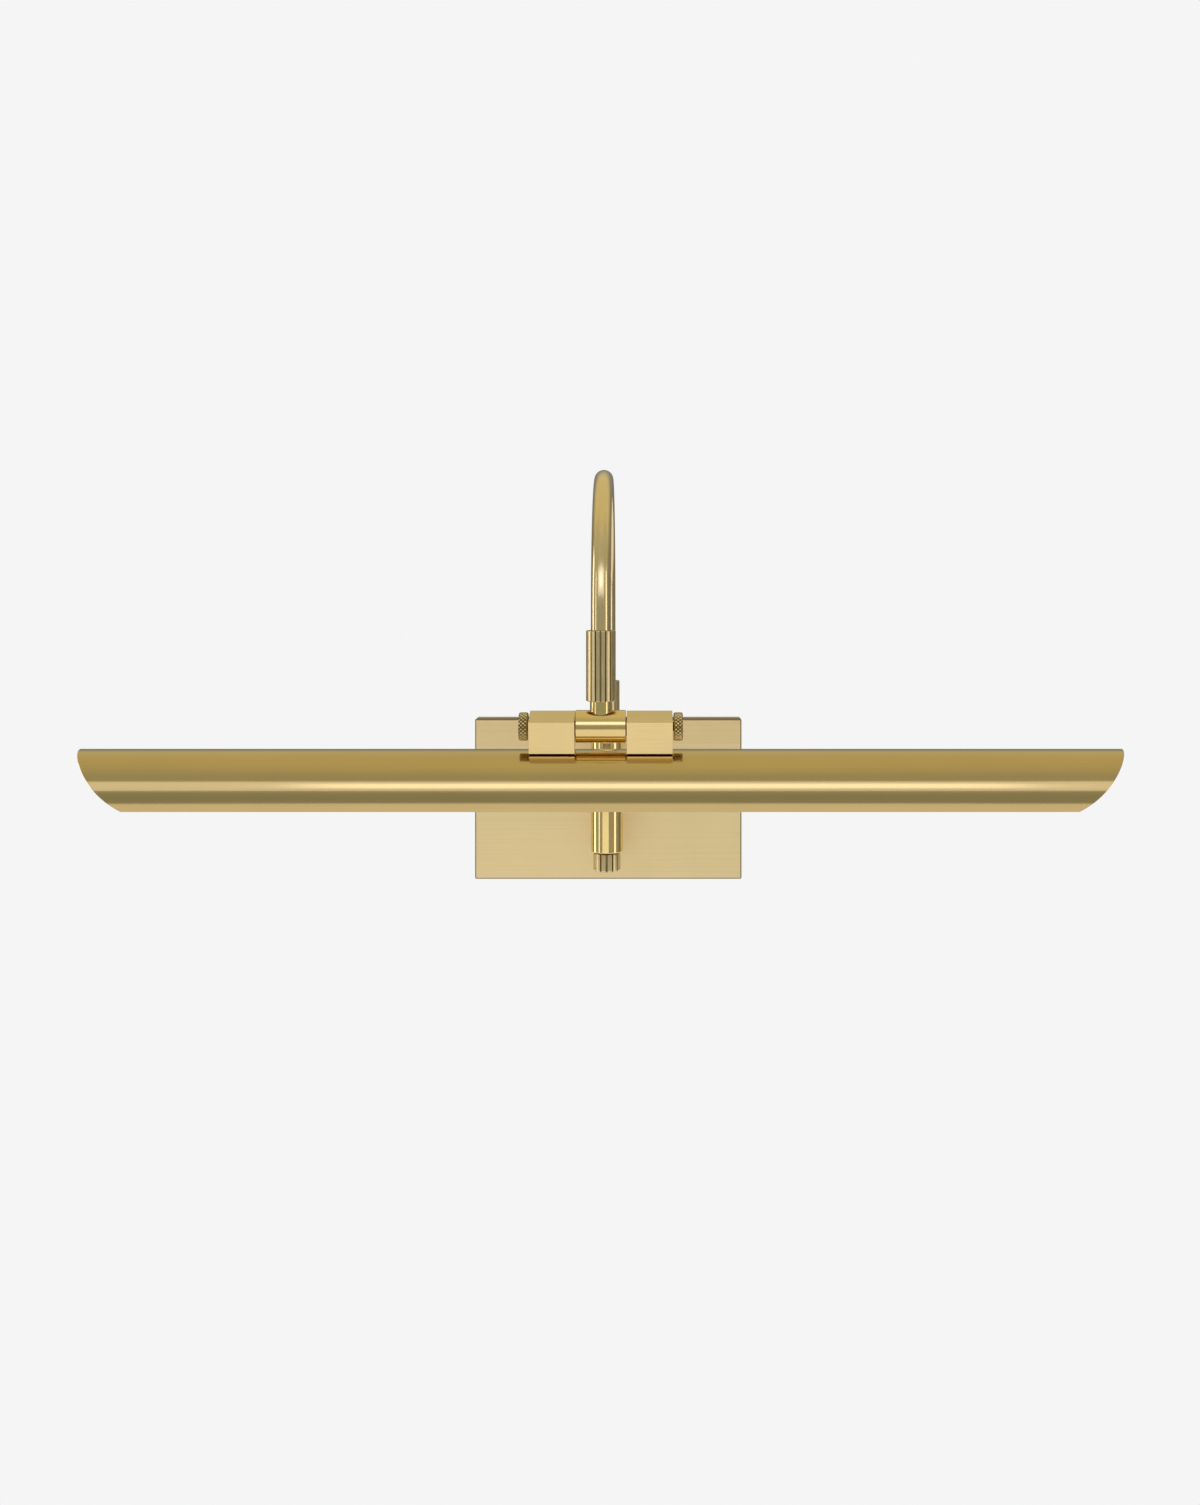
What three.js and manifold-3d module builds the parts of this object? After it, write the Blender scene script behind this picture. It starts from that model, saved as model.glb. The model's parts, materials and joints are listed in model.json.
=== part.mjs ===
// Picture light: a shallow wall plate, a hollow post, a swan-neck arm and a long half-round shade on
// a clamped tilting hinge. Millimetres: +X to the right, +Y towards the wall, +Z up. The origin is
// the centre of the wall bracket's back face, so the wall is the plane Y = 0.
import * as THREE from 'three';
import { mergeVertices } from 'three/addons/utils/BufferGeometryUtils.js';
import Module from 'manifold-3d';

const wasm = await Module();
wasm.setup();

// ---------------------------------------------------------------- driving dimensions
const GAP = 0.15; // between neighbours that touch in the real light
const RUN = 0.3; // round clearance where one piece turns in another

const PLATE = { width: 127, height: 76.2, depth: 12.7, face: 1.6, rim: 1.4, chamfer: 0.8 };
const BRACKET = { width: 108, height: 16, thick: 1.6, slotSpacing: 88.9, slotLength: 9, slotRadius: 2.2 };
const COVER_SCREW = { x: 30, shank: 1.9, head: 3.9, rise: 2.8 };
const GROUND = { x: -18, shank: 1.5, head: 3.2, rise: 1.8 };
const TERMINALS = { half: 9, back: -2.4, front: -10.4, bottom: -31, top: -19, well: 1.9, wellDepth: 5 };

const POST = { y: -42.7, radius: 7.3, bottom: -19.6, top: 30.9, bore: 5.4, chamber: 6, chamberTop: -4 };
const SPIGOT = { radius: 4.7, top: 40, seat: 1.3 };
const NIPPLE = { radius: 4.75, bore: 3.2, back: -6.2, front: -37 };
const SLEEVE_RADIUS = 6.35;
const LOCK_WASHER = { radius: 7, thick: 0.8 };
const LOCK_NUT = { corner: 7.6, thick: 2.8 };

const TUBE = { radius: 4, bore: 3.1, bend: 55, straightTop: 92.1, rearEnd: 12.9, frontEnd: 63.3 };
const HEAD_Y = POST.y - 2 * TUBE.bend;
const BUSH = { bottom: 17.5, top: 29.3 }; // plastic sleeve round the tube's foot
const CLIP = { bottom: 14.6, thick: 1, mouth: 4.4 }; // open ring under the tube's foot
const COLLAR = { radius: 5.8, groove: 5.2, length: 27.5, flutes: 18 };
const FRONT_COLLAR = { bottom: 57.8, step: 63 };
const KNOB = { radius: 6.3, groove: 5.6, bottom: -28.3, top: -20, flutes: 14 };
const SHAFT = { radius: 1.6, bottom: -25.9, top: -12.5 };
const SWITCH = { neck: 3.4, lip: 2.1, top: -5, nutCorner: 5.5 };

const STEM = { radius: 4.25, bottom: 50.1, shoulder: 62.2, pivot: 2.75, top: 82, bore: 1.9 };
const HINGE = { z: 48, radius: 6.35, half: 9.7, trunnion: 3.6, trunnionEnd: 20, bore: 2.4 };
const BLOCK = { inner: 10, outer: 27.8, depth: 13.4, above: 4.15, below: 8.9, edge: 0.2 };
const SCREW = { knob: 5.5, knobInner: 28.2, knobOuter: 31.7, shank: 2, chamfer: 0.4, tipGap: 0.4 };
const LEAD_RADIUS = 1.5;

const REST_TILT = THREE.MathUtils.degToRad(15); // the crown leans away from the wall
// The shade's crown lies ahead of its clamp, and the arc that its ends are cut to peaks behind the crown.
const SHADE = { length: 407.6, radius: 17.5, sheet: 0.9, ahead: 3.5, axis: -26.7 };
const SHADE_END = { radius: 42, behind: 10 };
const LINK = { x: 16, radius: 2.9, bore: 1.9, top: -4.8, bottom: -15.6 }; // nipple from block to shade
const SPACER = { radius: 4, recess: 1 };
const LINK_NUT = { corner: 4.8, thick: 2 };
const STRIP = { top: -12.2, thick: 0.9, half: 4, widens: -15, wide: 7, widest: -18, socketHole: 3.3 };
const LAMP_AXIS = SHADE.axis + 4;
const EAR_X = 22.2; // inner face of the bracket's ears
const SOCKET = { radius: 8.2, end: 50, mouth: 6.4, floor: 30, neck: 3, neckReach: 1.7 };
const BASE = { radius: 5.95, start: 30.8, contact: 2, cap: 2.6, capEnd: 32.6, threadStart: 34.5, end: 51.6 };
const GLASS = { radius: 9.5, wall: 0.8, neck: 5.8, throat: 6.6, throatLength: 3, shoulder: 8, tip: 152 };

// ---------------------------------------------------------------- finishes
function finish(color, roughness, metalness) {
  return new THREE.MeshStandardMaterial({ color, roughness, metalness });
}

const BRUSHED = finish(0xc9ae73, 0.38, 1);
const POLISHED = finish(0xcfb070, 0.16, 1);
const FLUTED = finish(0xa99058, 0.5, 1);
const STEEL = finish(0xb9bbbd, 0.35, 1);
const BLACK = finish(0x1c1c1e, 0.55, 0);
const WHITE = finish(0xe9e6df, 0.5, 0);
const SLEEVING = finish(0xc8b27a, 0.45, 0);
const FROSTED = finish(0xf4f1ea, 0.6, 0);

// ---------------------------------------------------------------- solids
function solid(geometry) {
  const bare = geometry.clone();
  bare.deleteAttribute('normal');
  bare.deleteAttribute('uv');
  const merged = mergeVertices(bare, 1e-4);
  const triVerts = new Uint32Array(merged.index.array);
  const vertProperties = new Float32Array(merged.attributes.position.array);
  return new wasm.Manifold(new wasm.Mesh({ numProp: 3, vertProperties, triVerts }));
}

function geometryOf(manifold) {
  const made = manifold.getMesh();
  const geometry = new THREE.BufferGeometry();
  geometry.setAttribute('position', new THREE.BufferAttribute(new Float32Array(made.vertProperties), 3));
  geometry.setIndex(new THREE.BufferAttribute(new Uint32Array(made.triVerts), 1));
  const faceted = geometry.toNonIndexed();
  faceted.computeVertexNormals();
  return faceted;
}

const join = (first, ...more) => geometryOf(more.reduce((sum, g) => sum.add(solid(g)), solid(first)));
const cut = (body, ...tools) => geometryOf(tools.reduce((left, g) => left.subtract(solid(g)), solid(body)));

// A turned piece. The profile's [radius, height] points run up the outside and down the inside.
function turned(profile, axis, sides = 20) {
  const points = profile.map(([r, h]) => new THREE.Vector2(r, h));
  const closed = profile[0][0] === 0 && profile.at(-1)[0] === 0;
  if (!closed) points.push(points[0].clone());
  const geometry = new THREE.LatheGeometry(points, sides);
  if (axis === 'z') geometry.rotateX(Math.PI / 2);
  if (axis === 'x') geometry.rotateZ(-Math.PI / 2);
  return geometry;
}

const rod = (radius, from, to, axis, sides) =>
  turned([[0, from], [radius, from], [radius, to], [0, to]], axis, sides);

const ring = (outer, inner, from, to, axis, sides) =>
  turned([[inner, from], [outer, from], [outer, to], [inner, to]], axis, sides);

function box([x0, y0, z0], [x1, y1, z1]) {
  const geometry = new THREE.BoxGeometry(x1 - x0, y1 - y0, z1 - z0);
  return geometry.translate((x0 + x1) / 2, (y0 + y1) / 2, (z0 + z1) / 2);
}

function rectangle(width, height) {
  const outline = new THREE.Shape();
  outline.moveTo(-width / 2, -height / 2).lineTo(width / 2, -height / 2);
  outline.lineTo(width / 2, height / 2).lineTo(-width / 2, height / 2).closePath();
  return outline;
}

function circle(radius, count, x = 0, y = 0) {
  return Array.from({ length: count }, (_, i) => {
    const angle = (2 * Math.PI * i) / count;
    return new THREE.Vector2(x + radius * Math.cos(angle), y + radius * Math.sin(angle));
  });
}

const roundHole = (x, y, radius) => new THREE.Path(circle(radius, 12, x, y));

function slotHole(x, length, radius) {
  const straight = length / 2 - radius;
  const hole = new THREE.Path();
  hole.absarc(x + straight, 0, radius, -Math.PI / 2, Math.PI / 2, false);
  hole.absarc(x - straight, 0, radius, Math.PI / 2, (3 * Math.PI) / 2, false);
  return hole.closePath();
}

// A flat outline drawn as seen from the room, standing from the wall side out to the front.
function standing(outline, back, front, curveSegments = 4) {
  const depth = back - front;
  const geometry = new THREE.ExtrudeGeometry(outline, { depth, curveSegments, bevelEnabled: false });
  return geometry.rotateX(Math.PI / 2).translate(0, back, 0);
}

// A round grip with straight flutes along Z.
function fluted({ radius, groove, flutes }, bottom, top) {
  const outline = new THREE.Shape();
  const pitch = (2 * Math.PI) / flutes;
  const corners = [[-0.3, radius], [0.3, radius], [0.42, groove], [0.58, groove]];
  for (let i = 0; i < flutes; i += 1) {
    corners.forEach(([part, r], k) => {
      const angle = (i + part) * pitch;
      const move = i === 0 && k === 0 ? 'moveTo' : 'lineTo';
      outline[move](r * Math.cos(angle), r * Math.sin(angle));
    });
  }
  outline.closePath();
  const geometry = new THREE.ExtrudeGeometry(outline, { depth: top - bottom, bevelEnabled: false });
  return geometry.translate(0, 0, bottom);
}

function sweep(path, radius, steps, sides, bore = 0, boreSides = 10) {
  const outline = new THREE.Shape(circle(radius, sides));
  if (bore) outline.holes.push(new THREE.Path(circle(bore, boreSides)));
  return new THREE.ExtrudeGeometry(outline, { steps, extrudePath: path, bevelEnabled: false });
}

// The arm's centre line: up from the post, over half a circle, and down to the head.
class SwanNeck extends THREE.Curve {
  constructor(rearEnd, frontEnd) {
    super();
    this.up = TUBE.straightTop - rearEnd;
    this.over = Math.PI * TUBE.bend;
    this.down = TUBE.straightTop - frontEnd;
  }

  getUtoTmapping(u) {
    return u; // the parameter already runs evenly along the length
  }

  getPoint(t, target = new THREE.Vector3()) {
    const along = t * (this.up + this.over + this.down);
    if (along <= this.up) return target.set(0, POST.y, TUBE.straightTop - this.up + along);
    const past = along - this.up - this.over;
    if (past >= 0) return target.set(0, HEAD_Y, TUBE.straightTop - past);
    const angle = (along - this.up) / TUBE.bend;
    const y = POST.y - TUBE.bend * (1 - Math.cos(angle));
    return target.set(0, y, TUBE.straightTop + TUBE.bend * Math.sin(angle));
  }
}

function curveThrough(points) {
  return new THREE.CatmullRomCurve3(points.map((p) => new THREE.Vector3(...p)), false, 'centripetal');
}

// ---------------------------------------------------------------- the tree
const pictureLight = new THREE.Group();

const onPost = new THREE.Group(); // pieces around the post's upright axis
onPost.position.set(0, POST.y, 0);
const onHead = new THREE.Group(); // pieces around the head's upright axis
onHead.position.set(0, HEAD_Y, 0);
const barrelGroup = new THREE.Group(); // level pieces on the hinge axis
barrelGroup.position.set(0, HEAD_Y, HINGE.z);
const tilted = new THREE.Group(); // pieces that tilt, drawn with the shade's crown straight up
tilted.position.set(0, HEAD_Y, HINGE.z);
tilted.rotation.x = REST_TILT;
pictureLight.add(onPost, onHead, barrelGroup, tilted);

function add(group, name, geometry, material) {
  const mesh = new THREE.Mesh(geometry, material);
  mesh.name = name;
  group.add(mesh);
}

// Left and right copies: make(side) is drawn with side = -1 and +1.
function addPair(group, name, make, material) {
  add(group, `${name}_left`, make(-1), material);
  add(group, `${name}_right`, make(1), material);
}

// A turned piece along X, drawn on the right and turned round for the left.
function turnedSide(profile, side, sides) {
  const geometry = turned(profile, 'x', sides);
  return side < 0 ? geometry.rotateZ(Math.PI) : geometry;
}

// ---------------------------------------------------------------- wall mount
function backPlate() {
  const { width, height, depth, face, rim, chamfer } = PLATE;
  const outline = rectangle(width - 2 * chamfer, height - 2 * chamfer);
  const bevel = { bevelThickness: chamfer, bevelSize: chamfer, bevelSegments: 1 };
  const block = new THREE.ExtrudeGeometry(outline, { depth, ...bevel });
  block.rotateX(Math.PI / 2).translate(0, chamfer, 0);
  const behindWall = box([-width, 0, -height], [width, 3 * chamfer, height]);
  const x = width / 2 - rim;
  const z = height / 2 - rim;
  const hollow = box([-x, face - depth, -z], [x, 1, z]);
  const nippleHole = rod(NIPPLE.radius + RUN, -depth - 1, 0, 'y');
  const screwHoles = [-1, 1].map((side) =>
    rod(COVER_SCREW.shank + RUN, -depth - 1, 0, 'y', 12).translate(side * COVER_SCREW.x, 0, 0));
  return cut(block, behindWall, hollow, nippleHole, ...screwHoles);
}

function wallBracket() {
  const outline = rectangle(BRACKET.width, BRACKET.height);
  for (const side of [-1, 1]) {
    outline.holes.push(slotHole((side * BRACKET.slotSpacing) / 2, BRACKET.slotLength, BRACKET.slotRadius));
    outline.holes.push(roundHole(side * COVER_SCREW.x, 0, COVER_SCREW.shank + RUN));
  }
  outline.holes.push(roundHole(GROUND.x, 0, GROUND.shank + RUN));
  return standing(outline, 0, -BRACKET.thick);
}

// A screw from the front: a low domed head on a plain shank that ends just short of the wall.
function domedScrew(x, seat, { shank, head, rise }) {
  const profile = [[0, seat - rise], [0.6 * head, seat - 0.9 * rise], [0.92 * head, seat - 0.5 * rise],
    [head, seat - 0.15 * rise], [head, seat], [shank, seat], [shank, -2 * GAP], [0, -2 * GAP]];
  return turned(profile, 'y', 12).translate(x, 0, 0);
}

function hexNut(toCorner, hole, from, to) {
  const outline = new THREE.Shape(circle(toCorner, 6));
  outline.holes.push(roundHole(0, 0, hole));
  const geometry = new THREE.ExtrudeGeometry(outline, { depth: to - from, bevelEnabled: false });
  return geometry.translate(0, 0, from);
}

function post() {
  const profile = [[POST.chamber, POST.bottom], [POST.radius, POST.bottom], [POST.radius, POST.top],
    [SPIGOT.radius, POST.top], [SPIGOT.radius, SPIGOT.top], [TUBE.radius + RUN, SPIGOT.top],
    [TUBE.radius + RUN, POST.top - SPIGOT.seat], [POST.bore, POST.top - SPIGOT.seat],
    [POST.bore, POST.chamberTop], [POST.chamber, POST.chamberTop]];
  return cut(turned(profile, 'z', 24), rod(NIPPLE.radius + RUN, 0, 2 * POST.radius, 'y', 16));
}

function standoffSleeve() {
  const front = POST.y + POST.radius / 2;
  const sleeve = ring(SLEEVE_RADIUS, NIPPLE.radius + RUN, front, -PLATE.depth - GAP, 'y');
  const postSide = rod(POST.radius + RUN, -2 * POST.radius, 2 * POST.radius, 'z', 32);
  return cut(sleeve, postSide.translate(0, POST.y, 0));
}

function terminalBlock() {
  const { half, back, front, bottom, top, well, wellDepth } = TERMINALS;
  const block = box([-half, front, bottom], [half, back, top]);
  const wells = [-1, 1].map((side) =>
    rod(well, front - 1, front + wellDepth, 'y', 12).translate((side * half) / 2, 0, (bottom + top) / 2));
  return cut(block, ...wells);
}

function supplyLead() {
  const route = [[0, -6, -18.7], [0, -4.6, -13], [0, -4, -5.5], [0, -4.6, -1.2], [0, -8.5, 0], [0, -20, 0],
    [0, -34, 0], [0, POST.y + 2.6, 0.2], [0, POST.y + 0.2, 2.2]];
  return sweep(curveThrough(route), LEAD_RADIUS, 18, 8);
}

const backInside = PLATE.face - PLATE.depth;
add(pictureLight, 'back_plate', backPlate(), BRUSHED);
add(pictureLight, 'wall_bracket', wallBracket(), STEEL);
const coverScrew = (side) => domedScrew(side * COVER_SCREW.x, -PLATE.depth - GAP, COVER_SCREW);
addPair(pictureLight, 'cover_screw', coverScrew, POLISHED);
add(pictureLight, 'ground_screw', domedScrew(GROUND.x, -BRACKET.thick - GAP, GROUND), STEEL);
add(pictureLight, 'canopy_nipple', ring(NIPPLE.radius, NIPPLE.bore, NIPPLE.front, NIPPLE.back, 'y'), STEEL);
const washerFront = backInside + GAP;
const washerBack = washerFront + LOCK_WASHER.thick;
const lockWasher = ring(LOCK_WASHER.radius, NIPPLE.radius + RUN, washerFront, washerBack, 'y');
add(pictureLight, 'lock_washer', lockWasher, STEEL);
const lockNut = hexNut(LOCK_NUT.corner, NIPPLE.radius + RUN, 0, LOCK_NUT.thick).rotateX(Math.PI / 2);
add(pictureLight, 'lock_nut', lockNut.translate(0, washerBack + GAP + LOCK_NUT.thick, 0), STEEL);
add(pictureLight, 'standoff_sleeve', standoffSleeve(), POLISHED);
add(pictureLight, 'terminal_block', terminalBlock(), WHITE);
add(pictureLight, 'supply_lead', supplyLead(), SLEEVING);
add(onPost, 'post', post(), POLISHED);
add(onPost, 'rear_bush', ring(POST.bore - 0.25, TUBE.radius + 0.2, BUSH.bottom, BUSH.top, 'z'), WHITE);

// ---------------------------------------------------------------- rotary switch in the post's foot
const switchFloor = POST.bottom + SWITCH.lip;
const switchProfile = [[SHAFT.radius + RUN, POST.bottom + RUN], [SWITCH.neck, POST.bottom + RUN],
  [SWITCH.neck, switchFloor], [POST.chamber - RUN, switchFloor], [POST.chamber - RUN, SWITCH.top],
  [0, SWITCH.top], [0, SHAFT.top + RUN], [SHAFT.radius + RUN, SHAFT.top + RUN]];
add(onPost, 'switch_body', turned(switchProfile, 'z'), BLACK);
const switchNut = hexNut(SWITCH.nutCorner, SWITCH.neck + RUN, POST.bottom + 0.5, switchFloor - GAP);
add(onPost, 'switch_nut', switchNut, STEEL);
const knobBore = rod(SHAFT.radius + RUN, SHAFT.bottom - GAP, KNOB.top + 1, 'z', 12);
add(onPost, 'switch_knob', cut(fluted(KNOB, KNOB.bottom, KNOB.top), knobBore), FLUTED);
add(onPost, 'switch_shaft', rod(SHAFT.radius, SHAFT.bottom, SHAFT.top, 'z', 12), STEEL);

// ---------------------------------------------------------------- arm and lock collars
function lockCollar(bottom, lowerBore, step, upperBore) {
  const top = bottom + COLLAR.length;
  const bore = [[0, bottom - 1], [lowerBore, bottom - 1], [lowerBore, step], [upperBore, step],
    [upperBore, top + 1], [0, top + 1]];
  return cut(fluted(COLLAR, bottom, top), turned(bore, 'z', 20));
}

function retainingClip() {
  const { bottom, thick, mouth } = CLIP;
  const opening = box([-mouth / 2, 0, bottom - 1], [mouth / 2, 2 * TUBE.radius, bottom + thick + 1]);
  return cut(ring(POST.bore - RUN, TUBE.radius + 0.1, bottom, bottom + thick, 'z'), opening);
}

const rearBottom = POST.top + GAP;
const rearCollar = lockCollar(rearBottom, SPIGOT.radius + 0.2, SPIGOT.top + RUN, TUBE.radius + RUN);
add(onPost, 'rear_collar', rearCollar, FLUTED);
const armPath = new SwanNeck(TUBE.rearEnd, TUBE.frontEnd);
add(pictureLight, 'arm_tube', sweep(armPath, TUBE.radius, 30, 14, TUBE.bore), POLISHED);
add(pictureLight, 'arm_lead', sweep(new SwanNeck(4, STEM.shoulder + 4), LEAD_RADIUS, 24, 8), SLEEVING);
add(onPost, 'arm_clip', retainingClip(), STEEL);
const frontBore = STEM.radius + RUN;
const frontCollar = lockCollar(FRONT_COLLAR.bottom, frontBore, FRONT_COLLAR.step, frontBore);
add(onHead, 'front_collar', frontCollar, FLUTED);

// ---------------------------------------------------------------- swivel head
function hingeBarrel() {
  const { radius, half, trunnion, trunnionEnd, bore } = HINGE;
  const profile = [[bore, -trunnionEnd], [trunnion, -trunnionEnd], [trunnion, -half], [radius, -half],
    [radius, half], [trunnion, half], [trunnion, trunnionEnd], [bore, trunnionEnd]];
  const stemSeat = rod(STEM.radius + GAP, STEM.bottom - GAP - HINGE.z, radius + 2, 'z');
  const leadWay = rod(LEAD_RADIUS + 0.5, 0, radius, 'z', 12);
  const leadSlots = [-1, 1].map((side) =>
    box([side * LINK.x - 2.4, -2.8, -5], [side * LINK.x + 2.4, 2.8, -1.2]));
  return cut(turned(profile, 'x'), stemSeat, leadWay, ...leadSlots);
}

const stemProfile = [[STEM.bore, STEM.bottom], [STEM.radius, STEM.bottom], [STEM.radius, STEM.shoulder],
  [STEM.pivot, STEM.shoulder], [STEM.pivot, STEM.top], [STEM.bore, STEM.top]];
add(onHead, 'head_stem', turned(stemProfile, 'z'), POLISHED);
const swivelWasher = ring(TUBE.radius, STEM.pivot + 0.2, STEM.shoulder + 0.1, STEM.shoulder + 0.9, 'z');
add(onHead, 'swivel_washer', swivelWasher, WHITE);
add(barrelGroup, 'hinge_barrel', hingeBarrel(), POLISHED);
const leadEnd = LINK.x + 1.5;
const headLead = join(rod(LEAD_RADIUS, -leadEnd, leadEnd, 'x', 8),
  rod(LEAD_RADIUS, 0, STEM.shoulder + 3.5 - HINGE.z, 'z', 8));
add(barrelGroup, 'head_lead', headLead, SLEEVING);

// ---------------------------------------------------------------- hinge blocks and thumbscrews
function hingeBlock(side) {
  const { inner, outer, depth, above, below, edge } = BLOCK;
  const outline = rectangle(depth - 2 * edge, above + below - 2 * edge);
  const bevel = { bevelThickness: edge, bevelSize: edge, bevelSegments: 1 };
  const block = new THREE.ExtrudeGeometry(outline, { depth: outer - inner - 2 * edge, ...bevel });
  block.rotateX(Math.PI / 2).rotateZ(Math.PI / 2);
  block.translate(inner + edge, 0, (above - below) / 2);
  const trunnionBore = rod(HINGE.trunnion + 0.2, inner - 1, HINGE.trunnionEnd + 0.5, 'x');
  const screwBore = rod(SCREW.shank + RUN, inner, outer + 1, 'x', 16);
  const linkBore = rod(LINK.radius + 0.2, -below - 1, LINK.top + GAP, 'z', 16).translate(LINK.x, 0, 0);
  const leadBore = rod(LINK.bore, -below, 0, 'z', 12).translate(LINK.x, 0, 0);
  const spacerSeat = rod(SPACER.radius + RUN, -below - 1, SPACER.recess - below, 'z').translate(LINK.x, 0, 0);
  const made = cut(block, trunnionBore, screwBore, linkBore, leadBore, spacerSeat);
  return side < 0 ? made.rotateZ(Math.PI) : made;
}

function thumbscrew(side) {
  const { knob, knobInner, knobOuter, shank, chamfer, tipGap } = SCREW;
  const tip = HINGE.trunnionEnd + tipGap;
  const profile = [[0, tip], [shank, tip], [shank, knobInner], [knob - chamfer, knobInner],
    [knob, knobInner + chamfer], [knob, knobOuter - chamfer], [knob - chamfer, knobOuter], [0, knobOuter]];
  return turnedSide(profile, side, 20);
}

const onShade = (clearance) =>
  rod(SHADE.radius + clearance, -SHADE.length, SHADE.length, 'x', 64).translate(0, -SHADE.ahead, SHADE.axis);

function blockSpacer(side) {
  const lowest = SHADE.axis + SHADE.radius - 3;
  const disc = ring(SPACER.radius, LINK.radius + 0.2, lowest, SPACER.recess - BLOCK.below - GAP, 'z');
  return cut(disc.translate(side * LINK.x, 0, 0), onShade(GAP));
}

const atLink = (geometry, side) => geometry.translate(side * LINK.x, 0, 0);
const linkTube = (side) => atLink(ring(LINK.radius, LINK.bore, LINK.bottom, LINK.top, 'z', 16), side);
const nutTop = STRIP.top - STRIP.thick - GAP;
const linkNut = (side) =>
  atLink(hexNut(LINK_NUT.corner, LINK.radius + 0.2, nutTop - LINK_NUT.thick, nutTop), side);

addPair(tilted, 'hinge_block', hingeBlock, BRUSHED);
addPair(tilted, 'thumbscrew', thumbscrew, FLUTED);
addPair(tilted, 'block_spacer', blockSpacer, BLACK);
addPair(tilted, 'block_nipple', linkTube, STEEL);
addPair(tilted, 'block_nut', linkNut, STEEL);

// ---------------------------------------------------------------- shade
// A half-round sheet. The ends of its blank are cut to an arc, so each end sweeps back to the lips.
function shade() {
  const { length, radius, sheet, ahead, axis } = SHADE;
  const outline = new THREE.Shape();
  outline.absarc(0, 0, radius, 0, Math.PI, false);
  outline.absarc(0, 0, radius - sheet, Math.PI, 0, true);
  outline.closePath();
  const sheetBody = new THREE.ExtrudeGeometry(outline, { depth: 1, curveSegments: 30, bevelEnabled: false });
  const place = sheetBody.attributes.position;
  for (let i = 0; i < place.count; i += 1) {
    const [across, up, end] = [place.getX(i), place.getY(i), place.getZ(i) * 2 - 1];
    const behindCrown = Math.atan2(across, up) * (radius - sheet / 2);
    const fromPeak = behindCrown - SHADE_END.behind;
    const sweptBack = SHADE_END.radius - Math.sqrt(SHADE_END.radius ** 2 - fromPeak ** 2);
    place.setXYZ(i, end * (length / 2 - sweptBack), across, up);
  }
  sheetBody.translate(0, -ahead, axis);
  const holes = [-1, 1].map((side) =>
    rod(LINK.radius + 0.2, axis + radius - 3, axis + radius + 3, 'z', 16).translate(side * LINK.x, 0, 0));
  return cut(sheetBody, ...holes);
}

// ---------------------------------------------------------------- lamps inside the shade
function lampBracket() {
  const { top, thick, half, widens, wide, widest, socketHole } = STRIP;
  const foot = LAMP_AXIS - wide;
  const corners = [[-half, top], [half, top], [half, widens], [wide, widest], [wide, foot], [-wide, foot],
    [-wide, widest], [-half, widens]];
  const ear = new THREE.Shape(corners.map(([u, w]) => new THREE.Vector2(u, w)));
  ear.holes.push(roundHole(0, LAMP_AXIS, socketHole));
  const ears = [-EAR_X - thick, EAR_X].map((x) =>
    new THREE.ExtrudeGeometry(ear, { depth: thick, bevelEnabled: false })
      .rotateX(Math.PI / 2).rotateZ(Math.PI / 2).translate(x, 0, 0));
  const strip = box([-EAR_X - thick / 2, -half, top - thick], [EAR_X + thick / 2, half, top]);
  const holes = [-1, 1].map((side) =>
    rod(LINK.radius + 0.2, top - 2, top + 1, 'z', 16).translate(side * LINK.x, 0, 0));
  return geometryOf(solid(join(strip, ...ears)).subtract(solid(holes[0])).subtract(solid(holes[1])));
}

const onLampAxis = (geometry) => geometry.translate(0, 0, LAMP_AXIS);

function socket(side) {
  const { radius, end, mouth, floor, neck, neckReach } = SOCKET;
  const seat = EAR_X + STRIP.thick + GAP;
  const profile = [[0, EAR_X - neckReach], [neck, EAR_X - neckReach], [neck, seat], [radius, seat],
    [radius, end], [mouth, end], [mouth, floor], [0, floor]];
  return onLampAxis(turnedSide(profile, side, 16));
}

function lampBase(side) {
  const { radius, start, contact, cap, capEnd, threadStart, end } = BASE;
  const profile = [[0, start], [contact, start], [cap, capEnd], [radius, threadStart], [radius, end],
    [0, end]];
  return onLampAxis(turnedSide(profile, side, 16));
}

// A thin-walled tubular lamp, open at its neck where the base closes it.
function lampGlass(side) {
  const { radius, wall, neck, throat, throatLength, shoulder, tip } = GLASS;
  const start = BASE.end + GAP;
  const outer = [[neck, start], [throat, start + throatLength], [radius, start + shoulder]];
  const steps = 4;
  const dome = (r, top) =>
    Array.from({ length: steps + 1 }, (_, i) => {
      const angle = (Math.PI / 2) * (i / steps);
      return [i === steps ? 0 : r * Math.cos(angle), top - r + r * Math.sin(angle)];
    });
  const inner = [...dome(radius - wall, tip - wall).reverse(), [radius - wall, start + shoulder + wall / 2],
    [throat - wall, start + throatLength + wall / 2], [neck - wall, start]];
  const profile = [...outer, ...dome(radius, tip), ...inner];
  const points = [...profile, profile[0]].map(([r, h]) => new THREE.Vector2(r, h));
  const geometry = new THREE.LatheGeometry(points, 16).rotateZ(-Math.PI / 2);
  return onLampAxis(side < 0 ? geometry.rotateZ(Math.PI) : geometry);
}

function lampLead(side) {
  const route = [[LINK.x, 0, LINK.top - 0.5], [LINK.x, 0, -10], [LINK.x, 0, -15.5], [LINK.x + 0.4, 0, -20],
    [LINK.x + 1.6, 0, -23.2], [LINK.x + 4, 0, LAMP_AXIS]].map(([x, u, w]) => [side * x, u, w]);
  return sweep(curveThrough(route), LEAD_RADIUS, 10, 8);
}

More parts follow.
